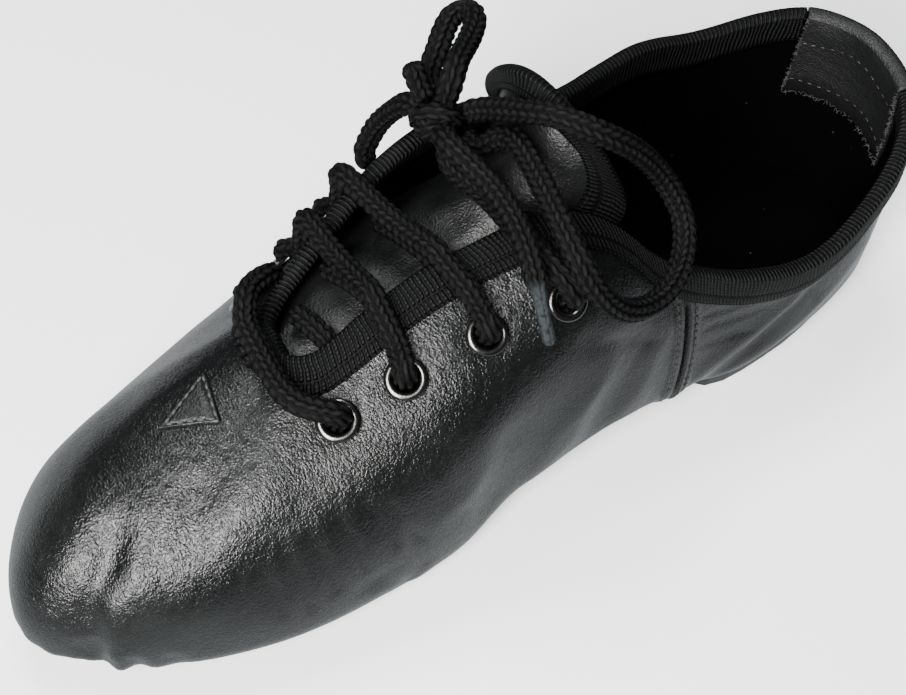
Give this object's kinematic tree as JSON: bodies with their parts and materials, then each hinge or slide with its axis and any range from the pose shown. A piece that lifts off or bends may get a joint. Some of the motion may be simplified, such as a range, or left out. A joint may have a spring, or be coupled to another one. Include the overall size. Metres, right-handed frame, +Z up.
{
  "type": "jazz shoe",
  "caption": "Lace-up leather jazz shoe for the right foot with a split sole, bound collar and throat, tongue, eyelets and a tied lace.",
  "frame": {"origin": "middle of the heel pad's rest face, on the floor", "axes": "+X toe, +Y the wearer's left, which is the inner side of this right shoe, +Z up"},
  "size_m": [0.2467, 0.0842, 0.0975],
  "materials": {
    "leather": "soft glazed black leather with a fine grain",
    "binding": "ribbed knitted black tape",
    "lining": "plain black woven lining",
    "rubber": "black heel pad",
    "suede": "black napped forefoot pad",
    "nickel": "dark nickel eyelets",
    "lace": "round braided black cord"
  },
  "bodies": {
    "root": {"upper": "leather", "collar_binding": "binding", "heel_tab": "leather", "tongue": "leather", "tongue_binding": "binding", "insole": "lining", "forefoot_pad": "suede", "heel_pad": "rubber", "eyelet_inner_1": "nickel", "eyelet_inner_2": "nickel", "eyelet_inner_3": "nickel", "eyelet_inner_4": "nickel", "eyelet_outer_1": "nickel", "eyelet_outer_2": "nickel", "eyelet_outer_3": "nickel", "eyelet_outer_4": "nickel", "lace_bar_1": "lace", "lace_bar_2": "lace", "lace_bar_3": "lace", "lace_under_1": "lace", "lace_under_2": "lace", "lace_under_3": "lace", "lace_knot": "lace", "lace_strand_inner": "lace", "lace_strand_outer": "lace", "lace_loop_large": "lace", "lace_loop_small": "lace", "lace_end_long": "lace", "lace_end_short": "lace"}
  },
  "joints": []
}
